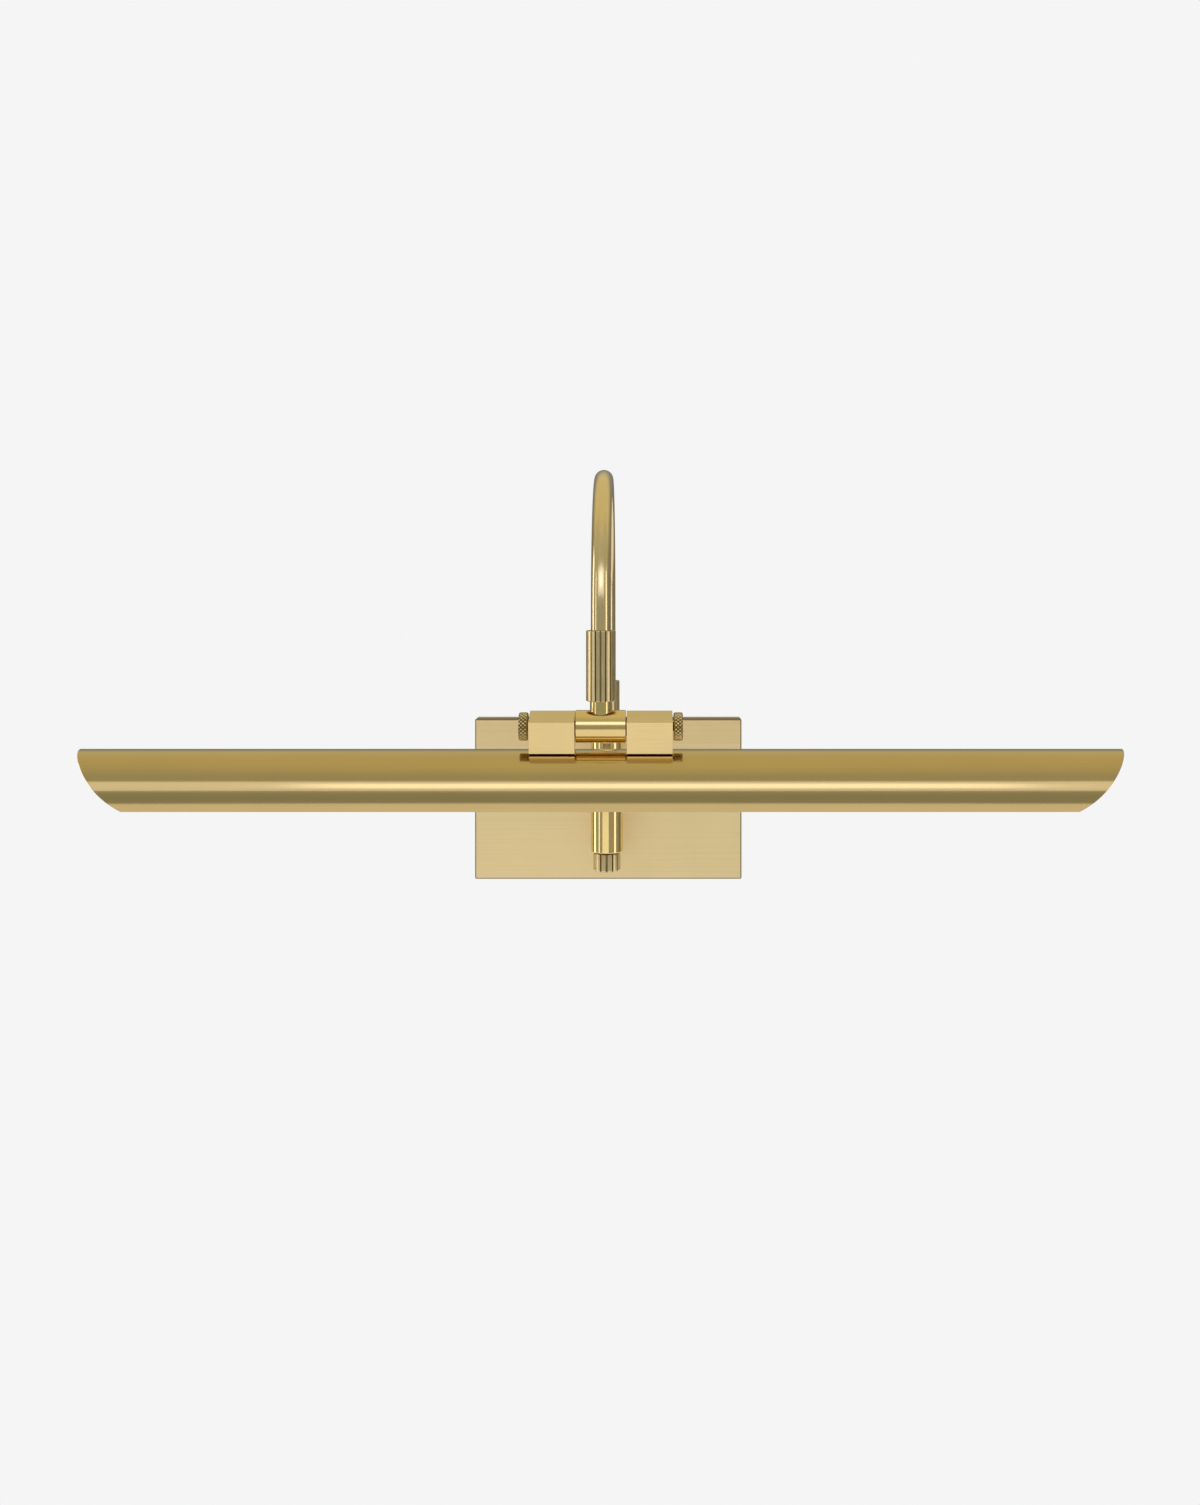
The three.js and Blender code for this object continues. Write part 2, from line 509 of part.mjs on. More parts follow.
add(tilted, 'shade', shade(), BRUSHED);
add(tilted, 'lamp_bracket', lampBracket(), STEEL);
addPair(tilted, 'lamp_socket', socket, BLACK);
addPair(tilted, 'lamp_base', lampBase, STEEL);
addPair(tilted, 'lamp_glass', lampGlass, FROSTED);
addPair(tilted, 'lamp_lead', lampLead, SLEEVING);

export default pictureLight;
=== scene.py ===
import json
import math

import bmesh
import bpy
from mathutils import Matrix, Vector

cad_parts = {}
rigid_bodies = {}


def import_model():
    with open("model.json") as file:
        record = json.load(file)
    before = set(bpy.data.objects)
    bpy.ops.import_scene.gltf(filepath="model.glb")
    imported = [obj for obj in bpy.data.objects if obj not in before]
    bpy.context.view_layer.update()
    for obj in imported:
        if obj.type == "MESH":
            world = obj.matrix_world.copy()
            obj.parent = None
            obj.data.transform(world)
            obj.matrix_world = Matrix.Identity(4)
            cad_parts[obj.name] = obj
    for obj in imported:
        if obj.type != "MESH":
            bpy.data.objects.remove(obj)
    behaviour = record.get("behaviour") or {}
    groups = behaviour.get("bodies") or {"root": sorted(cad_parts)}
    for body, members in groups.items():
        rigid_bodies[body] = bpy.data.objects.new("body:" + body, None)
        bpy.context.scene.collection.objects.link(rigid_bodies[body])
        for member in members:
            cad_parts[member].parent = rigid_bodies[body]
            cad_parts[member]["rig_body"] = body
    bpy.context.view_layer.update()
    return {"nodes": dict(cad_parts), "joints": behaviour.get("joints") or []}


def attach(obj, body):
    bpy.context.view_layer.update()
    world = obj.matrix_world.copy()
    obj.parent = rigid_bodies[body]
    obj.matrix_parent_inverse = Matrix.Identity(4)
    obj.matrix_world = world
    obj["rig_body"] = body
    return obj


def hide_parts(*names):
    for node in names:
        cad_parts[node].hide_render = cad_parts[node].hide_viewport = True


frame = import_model()

# Pieces are drawn in millimetres, +Z up, on one of five places: the wall, the post's axis, the
# head's axis, the hinge, and the lamp head with its crown straight up. A place's matrix brings
# them into the frame, in metres.
MM = 0.001
TAU = 2 * math.pi
REST_TILT = math.radians(15)  # the crown leans away from the wall
GAP = 0.15  # between neighbours that touch
RUN = 0.3  # round clearance where one piece turns in another

joint_at = {joint["name"]: joint["pos_m"] for joint in frame["joints"]}


def place_at(y, z=0.0, tilt=0.0):
    """The matrix of a place in the wall's middle plane, turned about X by tilt."""
    return Matrix.Translation((0, y, z)) @ Matrix.Rotation(tilt, 4, "X") @ Matrix.Scale(MM, 4)


WALL = place_at(0)
POST = place_at(joint_at["arm_swivel"][1])
HEAD = place_at(joint_at["head_swivel"][1])
HINGE = place_at(*joint_at["shade_tilt"][1:])
LAMP_HEAD = place_at(*joint_at["shade_tilt"][1:], REST_TILT)


def extent(node, place):
    """A CAD node's lowest and highest corner along a place's axes, in millimetres."""
    inverse = place.inverted()
    points = [inverse @ vertex.co for vertex in frame["nodes"][node].data.vertices]
    low = Vector([min(p[i] for p in points) for i in range(3)])
    high = Vector([max(p[i] for p in points) for i in range(3)])
    return low, high


# ---------------------------------------------------------------- materials
def new_material(name):
    """A new material, with its nodes, links and main shader."""
    material = bpy.data.materials.new(name)
    material.use_nodes = True
    nodes = material.node_tree.nodes
    return material, nodes, material.node_tree.links, nodes["Principled BSDF"]


def pattern(nodes, links, scale, detail=3.0, roughness=0.55):
    """A noise read in the piece's own coordinates, stretched by a different scale on each axis."""
    where = nodes.new("ShaderNodeTexCoord")
    stretch = nodes.new("ShaderNodeMapping")
    noise = nodes.new("ShaderNodeTexNoise")
    stretch.inputs["Scale"].default_value = scale
    noise.inputs["Scale"].default_value = 1
    noise.inputs["Detail"].default_value = detail
    noise.inputs["Roughness"].default_value = roughness
    links.new(where.outputs["Object"], stretch.inputs["Vector"])
    links.new(stretch.outputs["Vector"], noise.inputs["Vector"])
    return noise.outputs["Fac"]


def ramp(nodes, links, source, low, high, start=0.3, end=0.7):
    """The source's range from start to end, spread between two colours."""
    made = nodes.new("ShaderNodeValToRGB")
    made.color_ramp.elements[0].position = start
    made.color_ramp.elements[1].position = end
    made.color_ramp.elements[0].color = (*low, 1)
    made.color_ramp.elements[1].color = (*high, 1)
    links.new(source, made.inputs["Fac"])
    return made.outputs["Color"]


def spread(nodes, links, source, low, high):
    """The source's middle range, spread between two numbers."""
    made = nodes.new("ShaderNodeMapRange")
    for name, value in (("From Min", 0.3), ("From Max", 0.7), ("To Min", low), ("To Max", high)):
        made.inputs[name].default_value = value
    links.new(source, made.inputs["Value"])
    return made.outputs["Result"]


def bump(nodes, links, source, depth, strength):
    """Relief of a real depth in metres."""
    made = nodes.new("ShaderNodeBump")
    made.inputs["Distance"].default_value = depth
    made.inputs["Strength"].default_value = strength
    links.new(source, made.inputs["Height"])
    return made.outputs["Normal"]


def shaded(colour, factor):
    """The colour made darker or lighter by a factor."""
    return tuple(channel * factor for channel in colour)


def multiplied(nodes, links, first, second):
    """Two colours multiplied."""
    mixed = nodes.new("ShaderNodeMix")
    mixed.data_type = "RGBA"
    mixed.blend_type = "MULTIPLY"
    mixed.inputs["Factor"].default_value = 1
    links.new(first, mixed.inputs["A"])
    links.new(second, mixed.inputs["B"])
    return mixed.outputs["Result"]


def metal(name, colour, roughness, grain, relief=0.0, coat=0.0, variation=0.08, mottle=60,
          marked_tone=1.0):
    """A metal with a machined or brushed grain, a slow change of tone, and uneven gloss.
    grain is the noise scale on each axis, per metre: the small number runs along the marks.
    The tone factor, where it is below 1, darkens the points that carry a "groove" mark: painted
    shade along the back plate's rounded front edges, and darker grooves in the fluted and knurled
    grips."""
    material, nodes, links, shader = new_material(name)
    marks = pattern(nodes, links, grain, detail=4)
    clouds = pattern(nodes, links, (mottle,) * 3, detail=2)
    dark, light = shaded(colour, 1 - variation / 2), shaded(colour, 1 + variation / 4)
    tone = ramp(nodes, links, clouds, dark, light)
    fine = ramp(nodes, links, marks, (1 - variation,) * 3, (1, 1, 1))
    surface_tone = multiplied(nodes, links, tone, fine)
    # Painted shade on the back plate's marked front edges; darker grooves on the fluted and knurled
    # grips.
    if marked_tone < 1:
        groove = nodes.new("ShaderNodeAttribute")
        groove.attribute_name = "groove"
        marked_colour = (marked_tone, 0.92 * marked_tone, 0.8 * marked_tone)
        deep = ramp(nodes, links, groove.outputs["Fac"], (1, 1, 1), marked_colour, 0.15, 0.8)
        surface_tone = multiplied(nodes, links, surface_tone, deep)
    links.new(surface_tone, shader.inputs["Base Color"])
    gloss = spread(nodes, links, marks, 0.88 * roughness, 1.15 * roughness)
    links.new(gloss, shader.inputs["Roughness"])
    if relief:
        links.new(bump(nodes, links, marks, relief, 0.6), shader.inputs["Normal"])
    shader.inputs["Metallic"].default_value = 1
    shader.inputs["Coat Weight"].default_value = coat
    shader.inputs["Coat Roughness"].default_value = 0.12
    return material


def moulded(name, colour, roughness, grain=2500, relief=1.5e-5, variation=0.12):
    """A plastic with a fine moulded grain and a slight change of tone."""
    material, nodes, links, shader = new_material(name)
    texture = pattern(nodes, links, (grain,) * 3, detail=3)
    clouds = pattern(nodes, links, (90,) * 3, detail=2)
    tone = ramp(nodes, links, clouds, shaded(colour, 1 - variation), colour)
    links.new(tone, shader.inputs["Base Color"])
    gloss = spread(nodes, links, texture, 0.85 * roughness, 1.2 * roughness)
    links.new(gloss, shader.inputs["Roughness"])
    links.new(bump(nodes, links, texture, relief, 0.5), shader.inputs["Normal"])
    return material


def frosted(name):
    """Glass with a milky etched inside, slightly uneven."""
    material, nodes, links, shader = new_material(name)
    frost = pattern(nodes, links, (900,) * 3, detail=3)
    clouds = pattern(nodes, links, (45,) * 3, detail=2)
    tone = ramp(nodes, links, clouds, (0.9, 0.89, 0.86), (0.97, 0.965, 0.95))
    links.new(tone, shader.inputs["Base Color"])
    links.new(spread(nodes, links, frost, 0.42, 0.58), shader.inputs["Roughness"])
    links.new(bump(nodes, links, frost, 2e-5, 0.4), shader.inputs["Normal"])
    shader.inputs["Transmission Weight"].default_value = 0.55
    shader.inputs["IOR"].default_value = 1.47
    shader.inputs["Coat Weight"].default_value = 0.4
    shader.inputs["Coat Roughness"].default_value = 0.08
    return material


slot_of = {name: node.data.materials[0].name for name, node in frame["nodes"].items()}
for plain in list(bpy.data.materials):
    bpy.data.materials.remove(plain)

FINISHES = (
    # The plate's brass draws painted shade on its marked front edges through its tone factor.
    metal("brushed_brass", (0.93, 0.73, 0.39), 0.42, grain=(9, 1500, 1500), relief=1e-5, coat=0.2,
          mottle=22, marked_tone=0.3),
    metal("satin_brass", (0.86, 0.64, 0.29), 0.22, grain=(40, 2200, 2200), relief=4e-6, coat=0.3,
          variation=0.06),
    metal("shade_brass", (0.62, 0.45, 0.18), 0.13, grain=(14, 2600, 2600), relief=2e-6, coat=0.6,
          variation=0.05, mottle=25),
    metal("polished_brass", (0.84, 0.62, 0.26), 0.11, grain=(300, 300, 2200), coat=0.4,
          variation=0.04),
    metal("tube_brass", (0.86, 0.66, 0.34), 0.17, grain=(1500, 300, 300), relief=2e-6, coat=0.3,
          variation=0.06),
    metal("fluted_brass", (0.76, 0.6, 0.32), 0.3, grain=(1800, 1800, 120), relief=8e-6, coat=0.1,
          variation=0.12, marked_tone=0.55),
    metal("knurled_brass", (0.8, 0.62, 0.3), 0.25, grain=(1600, 1600, 1600), relief=8e-6,
          coat=0.1, variation=0.12, marked_tone=0.28),
    metal("zinc_steel", (0.58, 0.58, 0.6), 0.33, grain=(700, 700, 700), relief=5e-6,
          variation=0.16, mottle=220),
    metal("green_screw", (0.07, 0.3, 0.12), 0.38, grain=(900, 900, 900), relief=5e-6, coat=0.2,
          variation=0.2, mottle=300),
    metal("lamp_cap", (0.72, 0.72, 0.73), 0.3, grain=(1200, 1200, 1200), relief=4e-6,
          variation=0.1, mottle=200),
    moulded("black_phenolic", (0.022, 0.021, 0.02), 0.42),
    moulded("white_nylon", (0.8, 0.785, 0.73), 0.45),
    moulded("lead_sleeving", (0.52, 0.4, 0.17), 0.4, grain=3200, relief=2.5e-5, variation=0.2),
    frosted("frosted_glass"),
)
MATERIALS = {material.name: material for material in FINISHES}

for name, node in frame["nodes"].items():
    node.material_slots[0].material = MATERIALS[slot_of[name]]


# ---------------------------------------------------------------- outlines
def rounded(profile, size, loop, steps=3):
    """The outline with each corner rounded off by size, or by a third of a shorter side."""
    made = []
    for i, corner in enumerate(profile):
        if not loop and i in (0, len(profile) - 1):
            made.append(corner)
            continue
        ends = []
        for other in (profile[i - 1], profile[(i + 1) % len(profile)]):
            part = min(size / math.dist(corner, other), 1 / 3)
            ends.append([c + (o - c) * part for c, o in zip(corner, other)])
        for step in range(steps + 1):
            t = step / steps
            weights = ((1 - t) ** 2, 2 * t * (1 - t), t**2)
            axes = zip(ends[0], corner, ends[1])
            made.append([sum(w * v for w, v in zip(weights, axis)) for axis in axes])
    return made


def flutes(radius, groove, count):
    """A straight-fluted outline: its radius at a turn angle, and the angles of its corners."""
    shape = [(-0.34, radius), (-0.12, radius), (0.12, radius), (0.34, radius),
             (0.44, groove), (0.56, groove)]
    angles = [TAU * (i + part) / count for i in range(count) for part, _ in shape]
    radii = {angle: r for angle, (_, r) in zip(angles, shape * count)}
    return radii.get, angles


def hexagon(corner):
    """A hexagon's outline, by the radius of its corners."""
    flat = corner * math.cos(math.pi / 6)
    return lambda angle: flat / math.cos(angle % (math.pi / 3) - math.pi / 6)


def no_more(outline, limit):
    """The outline with whatever passes the limit turned off."""
    return lambda angle: min(outline(angle), limit)


def thread(radius, depth, pitch, start, end, steps=6):
    """Rows of a helical thread along a turned piece."""

    def row(height):
        return lambda angle: radius - depth * abs((height / pitch - angle / TAU) % 1 - 0.5) * 2

    count = round((end - start) / pitch * steps)
    heights = [start + (end - start) * i / count for i in range(count + 1)]
    return [(row(height), height) for height in heights]


def diamond_knurl(radius, depth, count, start, end, rows=28):
    """Rows of a diamond knurl: flat-topped diamonds left between two crossing sets of V grooves."""
    pitch = TAU * radius / count

    def row(height):
        def outline(angle):
            along, around = height / pitch, angle * count / TAU
            grooves = (abs((around + side * along) % 1 - 0.5) * 2 for side in (-1, 1))
            return radius - depth * max(0, 1 - 2 * min(grooves))

        return outline

    heights = [start + (end - start) * i / rows for i in range(rows + 1)]
    return [(row(height), height) for height in heights]


# ---------------------------------------------------------------- meshes
def loft(rings, loop):
    """A skin through rings of points, which closes on itself or has a flat cap at each end."""
    bm = bmesh.new()
    made = [[bm.verts.new(point) for point in ring] for ring in rings]
    following = made[1:] + made[:1] if loop else made[1:]
    for near, far in zip(made, following):
        for i in range(len(near)):
            j = (i + 1) % len(near)
            bm.faces.new((near[i], near[j], far[j], far[i]))
    if not loop:
        bm.faces.new(made[0])
        bm.faces.new(made[-1])
    return bm


TO_AXIS = {
    "x": lambda a, b, height: (height, a, b),
    "y": lambda a, b, height: (a, height, b),
    "z": lambda a, b, height: (a, b, height),
}


def turned_rows(rows, axis="z", angles=96, centre=(0, 0, 0), loop=False):
    """A turned piece. A row is (radius, height), each a number or a function of the turn angle."""
    if isinstance(angles, int):
        angles = [TAU * i / angles for i in range(angles)]
    rings = []
    for row in rows:
        ring = []
        for angle in angles:
            radius, height = (part(angle) if callable(part) else part for part in row)
            point = TO_AXIS[axis](radius * math.cos(angle), radius * math.sin(angle), height)
            ring.append([p + c for p, c in zip(point, centre)])
        rings.append(ring)
    return loft(rings, loop)


def turned(profile, ease=0.2, **options):
    """A turned piece from its outline, which starts and ends on the axis or closes round a bore."""
    bored = profile[0][0] > 0
    rows = [row for row in rounded(profile, ease, bored) if row[0] > 0]
    return turned_rows(rows, loop=bored, **options)


def ring(outer, inner, start, end, ease=0.2, **options):
    """A short tube with its edges eased."""
    return turned([(inner, start), (outer, start), (outer, end), (inner, end)], ease, **options)


def rod(radius, start, end, ease=0.2, **options):
    """A round bar with its edges eased."""
    return turned([(0, start), (radius, start), (radius, end), (0, end)], ease, **options)


def rounded_box(low, high, radius, segments=3, stays_sharp=lambda edge: False):
    """A box between two corners, with its edges rounded unless they stay sharp."""
    bm = bmesh.new()
    size = Vector(high) - Vector(low)
    middle = (Vector(high) + Vector(low)) / 2
    stretched = Matrix.Translation(middle) @ Matrix.Diagonal((*size, 1))
    bmesh.ops.create_cube(bm, size=1, matrix=stretched)
    edges = [edge for edge in bm.edges if not stays_sharp(edge)]
    bmesh.ops.bevel(bm, geom=edges, offset=radius, segments=segments, profile=0.5,
                    affect="EDGES")
    return bm


def swept(centres, radius, across, sides=32, bore=0):
    """A tube along points in one plane; across is the direction square to that plane."""
    across = Vector(across)
    outer, inner = [], []
    last = len(centres) - 1
    for i, centre in enumerate(centres):
        before, after = centres[max(i - 1, 0)], centres[min(i + 1, last)]
        tangent = (Vector(after) - Vector(before)).normalized()
        up = across.cross(tangent)
        for skin, r in ((outer, radius), (inner, bore)):
            turn = (TAU * k / sides for k in range(sides))
            skin.append([Vector(centre) + r * (math.cos(a) * across + math.sin(a) * up)
                         for a in turn])
    return loft(outer + inner[::-1], loop=True) if bore else loft(outer, loop=False)


def smooth_route(points, steps=6):
    """Catmull-Rom points through a route."""
    points = [Vector(p) for p in points]
    padded = [2 * points[0] - points[1], *points, 2 * points[-1] - points[-2]]
    made = []
    for a, b, c, d in zip(padded, padded[1:], padded[2:], padded[3:]):
        for step in range(steps):
            t = step / steps
            squared, cubed = 2 * a - 5 * b + 4 * c - d, 3 * b - a - 3 * c + d
            made.append(0.5 * (2 * b + (c - a) * t + squared * t**2 + cubed * t**3))
    return [*made, points[-1]]


# ---------------------------------------------------------------- fitting a piece to the frame
def object_from(name, bm, place):
    """An object in the scene from a mesh drawn on a place."""
    bm.transform(place)
    bmesh.ops.recalc_face_normals(bm, faces=bm.faces)
    mesh = bpy.data.meshes.new(name)
    bm.to_mesh(mesh)
    bm.free()
    made = bpy.data.objects.new(name, mesh)
    bpy.context.scene.collection.objects.link(made)
    return made


def carve(target, cutters):
    """Cuts each cutter out of the target, and removes the cutters."""
    for cutter in cutters:
        cutting = target.modifiers.new("cut", "BOOLEAN")
        cutting.object = cutter
        cutting.solver = "EXACT"
    evaluated = target.evaluated_get(bpy.context.evaluated_depsgraph_get())
    carved = bpy.data.meshes.new_from_object(evaluated)
    target.modifiers.clear()
    target.data = carved
    for cutter in cutters:
        bpy.data.objects.remove(cutter)


def fit(node, bm, place, cuts=(), side=1, sharp=35):
    """Makes the fine piece that stands for a CAD node, on the node's body and with its slot.
    side -1 mirrors it left to right."""
    placed = place @ Matrix.Diagonal((side, 1, 1, 1))
    made = object_from("fine_" + node, bm, placed)
    if cuts:
        carve(made, [object_from("cutter", cut, placed) for cut in cuts])
    made.data.polygons.foreach_set("use_smooth", [True] * len(made.data.polygons))
    made.data.set_sharp_from_angle(angle=math.radians(sharp))
    shading = made.modifiers.new("even_faces", "WEIGHTED_NORMAL")
    shading.keep_sharp = True
    made.data.materials.clear()
    made.data.materials.append(MATERIALS[slot_of[node]])
    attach(made, frame["nodes"][node]["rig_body"])
    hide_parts(node)
    return made


def mark_grooves(piece, place, axis, radius, depth):
    """Stores how deep each point lies in a turned grip's grooves, from 0 at its outside to 1."""
    marks = piece.data.attributes.new("groove", "FLOAT", "POINT")
    inverse = place.inverted()
    for vertex, mark in zip(piece.data.vertices, marks.data):
        point = inverse @ vertex.co
        point["xyz".index(axis)] = 0
        mark.value = min(max((radius - point.length) / depth, 0), 1)


SIDES = ((-1, "left"), (1, "right"))


# ---------------------------------------------------------------- wall mount
NIPPLE_THREAD = {"depth": 0.45, "pitch": 0.94}
NIPPLE_BORE = 3.2
PLATE = {"face": 1.6, "rim": 1.4, "rounding": 0.7}
COVER_HOLE = 2.2  # radius of the plate's and the bracket's holes for the cover screws
GROUND_HOLE = 1.8
BOX_SLOT = {"x": 44.45, "length": 9, "radius": 2.2}  # takes a screw into the wall's box
THROUGH_BRACKET = (-5, 1)  # depths between which a cutter passes right through the bracket
COVER_SCREW = {"shank": 1.9, "head": 3.9, "rise": 2.8, "slot_width": 0.9}
GROUND_SCREW = {"shank": 1.5, "head": 3.2, "rise": 1.8, "slot_width": 0.8}
level = {"axis": "y"}
lead_radius = extent("supply_lead", WALL)[1].x

plate_low, plate_high = extent("back_plate", WALL)
nipple_low, nipple_high = extent("canopy_nipple", WALL)
nipple_radius = nipple_high.x
ground_screw_low, ground_screw_high = extent("ground_screw", WALL)
cover_screw_low, cover_screw_high = extent("cover_screw_right", WALL)
ground_x = (ground_screw_low.x + ground_screw_high.x) / 2
cover_x = (cover_screw_low.x + cover_screw_high.x) / 2


def threaded_tube(radius, bore, start, end, **options):
    """A nipple threaded along its whole length."""
    lead_in = 0.3
    turns = thread(radius, start=start + lead_in, end=end - lead_in, **NIPPLE_THREAD)
    relief = radius - NIPPLE_THREAD["depth"]
    rows = [(bore, start), (relief, start), *turns, (relief, end), (bore, end)]
    return turned_rows(rows, angles=48, loop=True, **options)


def back_plate():
    """A shallow pan, open towards the wall. Its rounded front edges carry painted shade."""
    rim, rounding = PLATE["rim"], PLATE["rounding"]

    def open_side(edge):
        return all(vertex.co.y > plate_high.y - 0.01 for vertex in edge.verts)

    block = rounded_box(plate_low, plate_high, rounding, 5, open_side)
    inside = rounded_box(plate_low + Vector((rim, PLATE["face"], rim)),
                         plate_high + Vector((-rim, 2, -rim)), 0.5, 2)
    holes = [rod(nipple_radius + RUN, plate_low.y - 1, 0, **level)]
    for side, _ in SIDES:
        holes.append(rod(COVER_HOLE, plate_low.y - 1, 0, centre=(side * cover_x, 0, 0), **level))
    made = fit("back_plate", block, WALL, [inside, *holes])
    # Painted shade: points on the rounded front edges are marked so that the brass draws them
    # darker.
    marks = made.data.attributes.new("groove", "FLOAT", "POINT")
    for vertex, mark in zip(made.data.vertices, marks.data):
        mark.value = 0.02 < vertex.co.y / MM - plate_low.y < 2 * rounding


def slot_cutter(x, length, radius):
    """A round-ended bar through the bracket."""
    straight = length / 2 - radius
    turn = [TAU * i / 48 for i in range(48)]
    outline = [(x + math.copysign(straight, math.cos(a)) + radius * math.cos(a),
                radius * math.sin(a)) for a in turn]
    return loft([[(px, y, pz) for px, pz in outline] for y in THROUGH_BRACKET], loop=False)


def wall_bracket():
    """A flat strap with two slots for the box's screws and three round holes."""
    low, high = extent("wall_bracket", WALL)
    cuts = [slot_cutter(side * BOX_SLOT["x"], BOX_SLOT["length"], BOX_SLOT["radius"])
            for side, _ in SIDES]
    cuts += [rod(COVER_HOLE, *THROUGH_BRACKET, centre=(side * cover_x, 0, 0), **level)
             for side, _ in SIDES]
    cuts.append(rod(GROUND_HOLE, *THROUGH_BRACKET, centre=(ground_x, 0, 0), **level))
    fit("wall_bracket", rounded_box(low, high, 0.25, 2), WALL, cuts)


def slotted_screw(node, shank, head, rise, slot_width):
    """A domed head with a driver slot, on a threaded shank."""
    low, high = extent(node, WALL)
    x = (low.x + high.x) / 2
    seat = low.y + rise
    rim_to_crown = (math.pi / 2 * i / 12 for i in range(12))
    dome = [(math.cos(a) * head, seat - rise * math.sin(a)) for a in rim_to_crown]
    rows = [*reversed(dome), (head, seat), (shank, seat), (shank, seat + 1.2)]
    rows += thread(shank, depth=0.25, pitch=0.8, start=seat + 1.4, end=high.y - 0.4)
    rows.append((shank - 0.5, high.y))
    driver_slot = rounded_box((x - 2 * head, low.y - 1, -slot_width / 2),
                              (x + 2 * head, low.y + 0.42 * rise, slot_width / 2), 0.05, 1)
    centre = (x, 0, (low.z + high.z) / 2)
    fit(node, turned_rows(rows, angles=48, centre=centre, **level), WALL, [driver_slot])


def hex_nut(node, place, bore, axis="z", centre=(0, 0, 0), side=1):
    """A nut with its corners turned off at both faces."""
    low, high = extent(node, place)
    along = "xyz".index(axis)
    start, end = low[along], high[along]
    corner = max(high[i] - low[i] for i in range(3) if i != along) / 2
    outline = hexagon(corner)
    faced = no_more(outline, 0.9 * corner)
    edge = 0.16 * (end - start)
    rows = [(bore, start), (faced, start), (outline, start + edge), (outline, end - edge),
            (faced, end), (bore, end)]
    fit(node, turned_rows(rows, axis=axis, centre=centre, loop=True), place, side=side)


def lock_washer():
    """A washer with 14 teeth round its edge."""
    low, high = extent("lock_washer", WALL)
    teeth, angles = flutes(high.x, high.x - 1, 14)
    bore = nipple_radius + RUN
    rows = [(bore, low.y), (teeth, low.y), (teeth, high.y), (bore, high.y)]
    fit("lock_washer", turned_rows(rows, angles=angles, loop=True, **level), WALL)


def standoff_sleeve():
    """A sleeve whose front end is hollowed to sit against the post."""
    high = extent("standoff_sleeve", WALL)[1]
    radius = high.x
    hollow = extent("post", POST)[1].x + RUN
    post_y = POST.translation.y / MM

    def saddle(at_radius, above=0):
        return lambda angle: (
            post_y + math.sqrt(hollow**2 - (at_radius * math.cos(angle)) ** 2) + above
        )

    bore = nipple_radius + RUN
    ease = 0.3
    rows = [(bore, saddle(bore)), (radius - ease, saddle(radius)), (radius, saddle(radius, ease)),
            (radius, high.y - ease), (radius - ease, high.y), (bore, high.y)]
    fit("standoff_sleeve", turned_rows(rows, loop=True, **level), WALL)


def terminal_block():
    """A nylon block with two terminals and a waist between them."""
    low, high = extent("terminal_block", WALL)
    size = high - low
    cuts = []
    for side, _ in SIDES:
        centre = (side * size.x / 4, 0, (low.z + high.z) / 2)
        cuts.append(rod(1.9, low.y - 1, low.y + 5, centre=centre, **level))
    waist = rounded_box((-0.6, low.y - 1, low.z - 1), (0.6, low.y + 1.6, high.z + 1), 0.1, 1)
    fit("terminal_block", rounded_box(low, high, 0.6), WALL, [*cuts, waist])


def supply_lead():
    """From the terminals, up behind the plate and forward through the nipple into the post."""
    post_y = POST.translation.y / MM
    route = [(0, -6, -18.7), (0, -4.6, -13), (0, -4, -5.5), (0, -4.6, -1.2), (0, -8.5, 0),
             (0, -20, 0), (0, -34, 0), (0, post_y + 2.6, 0.2), (0, post_y + 0.2, 2.2)]
    fit("supply_lead", swept(smooth_route(route), lead_radius, (1, 0, 0), 20), WALL)


back_plate()
wall_bracket()
slotted_screw("cover_screw_left", **COVER_SCREW)
slotted_screw("cover_screw_right", **COVER_SCREW)
slotted_screw("ground_screw", **GROUND_SCREW)
nipple = threaded_tube(nipple_radius, NIPPLE_BORE, nipple_low.y, nipple_high.y, **level)
fit("canopy_nipple", nipple, WALL)
lock_washer()
hex_nut("lock_nut", WALL, nipple_radius + RUN, "y")
standoff_sleeve()
terminal_block()
supply_lead()

# ---------------------------------------------------------------- post, switch and knob
post_low, post_high = extent("post", POST)
knob_low, knob_high = extent("switch_knob", POST)
shaft_low, shaft_high = extent("switch_shaft", POST)
rear_low, rear_high = extent("rear_collar", POST)
tube_radius = extent("arm_tube", POST)[1].x
SPIGOT = 4.7  # the post's neck inside the rear collar
SPIGOT_SEAT = 1.3  # how far the tube's seat lies below the shoulder
POST_BORE, POST_CHAMBER, CHAMBER_TOP = 5.4, 6.0, -4
SWITCH_NUT_BORE = 3.7
PIN_HOLE = 0.02  # all but closed, where a bored loop of rows meets the axis
KNOB = {"count": 14, "depth": 0.8, "crown": 0.8}
COLLAR = {"count": 18, "depth": 0.6, "crown": 0.45}


def post():
    """A hollow post. Its neck is the spigot that carries the tube inside the rear collar."""
    shoulder = rear_low.z - GAP
    seat = shoulder - SPIGOT_SEAT
    tube_hole = tube_radius + RUN
    profile = [(POST_CHAMBER, post_low.z), (post_high.x, post_low.z), (post_high.x, shoulder),
               (SPIGOT, shoulder), (SPIGOT, post_high.z), (tube_hole, post_high.z),
               (tube_hole, seat), (POST_BORE, seat), (POST_BORE, CHAMBER_TOP),
               (POST_CHAMBER, CHAMBER_TOP)]
    side_hole = rod(nipple_radius + RUN, 0, 2 * post_high.x, **level)
    fit("post", turned(profile, 0.45), POST, [side_hole])


